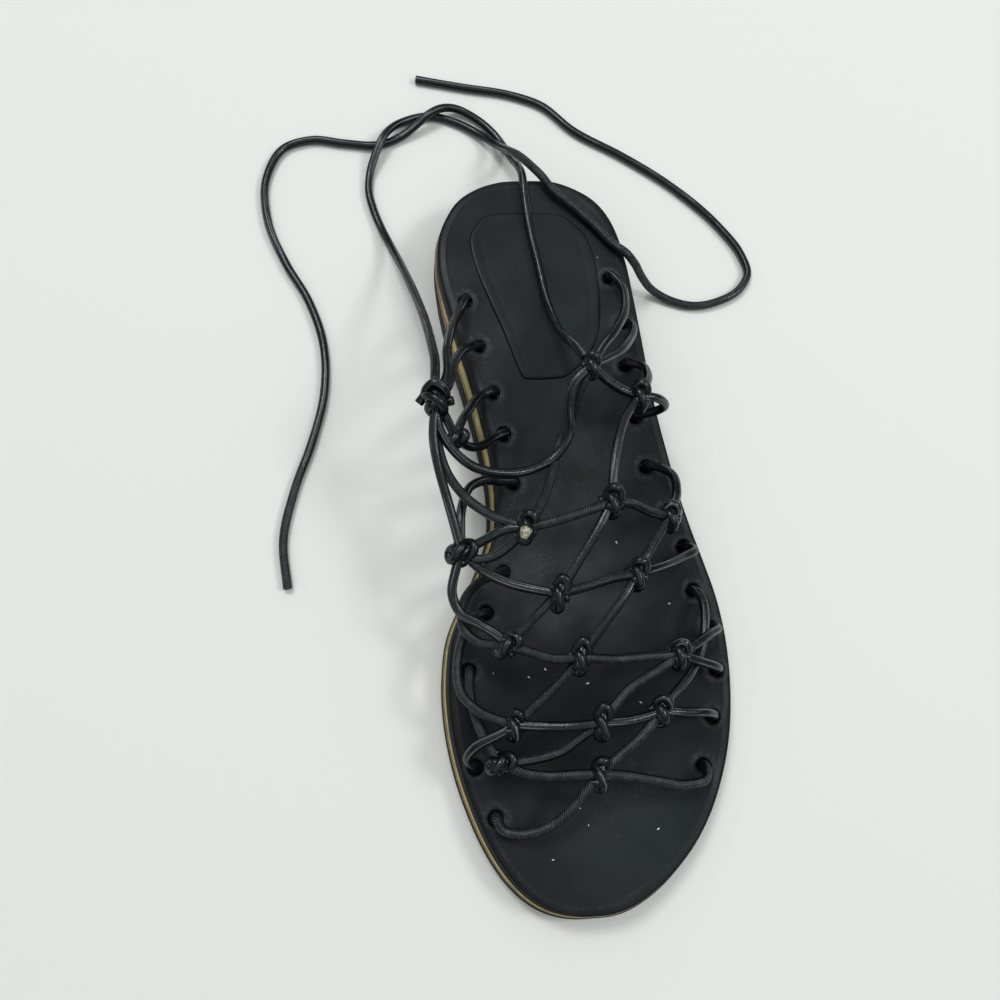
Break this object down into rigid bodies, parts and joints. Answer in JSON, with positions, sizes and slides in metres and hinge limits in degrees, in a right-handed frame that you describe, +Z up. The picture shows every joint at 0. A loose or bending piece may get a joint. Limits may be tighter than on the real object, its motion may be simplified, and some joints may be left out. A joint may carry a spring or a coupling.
{
  "type": "gladiator sandal",
  "caption": "Flat black leather sandal for a left foot: a low sole with a net of knotted round cords over the forefoot and instep, and two long free ties.",
  "frame": {"origin": "centre of the heel's base, on the floor", "axes": "+Z up, -Y towards the toe, +X towards the outer (lateral) side of a left foot"},
  "size_m": [0.1833, 0.3088, 0.0514],
  "materials": {
    "footbed_leather": "smooth black leather with a soft sheen",
    "heel_pad_leather": "smooth black leather",
    "midsole_leather": "two stacked tan leather layers",
    "outsole_rubber": "matt black",
    "heel_rubber": "matt black",
    "cord_leather": "half-gloss stitched round leather cord"
  },
  "bodies": {
    "root": {"footbed": "footbed_leather", "heel_pad": "heel_pad_leather", "midsole": "midsole_leather", "outsole": "outsole_rubber", "heel": "heel_rubber", "cord_upper": "cord_leather", "tie_lateral": "cord_leather", "tie_medial": "cord_leather"}
  },
  "joints": []
}
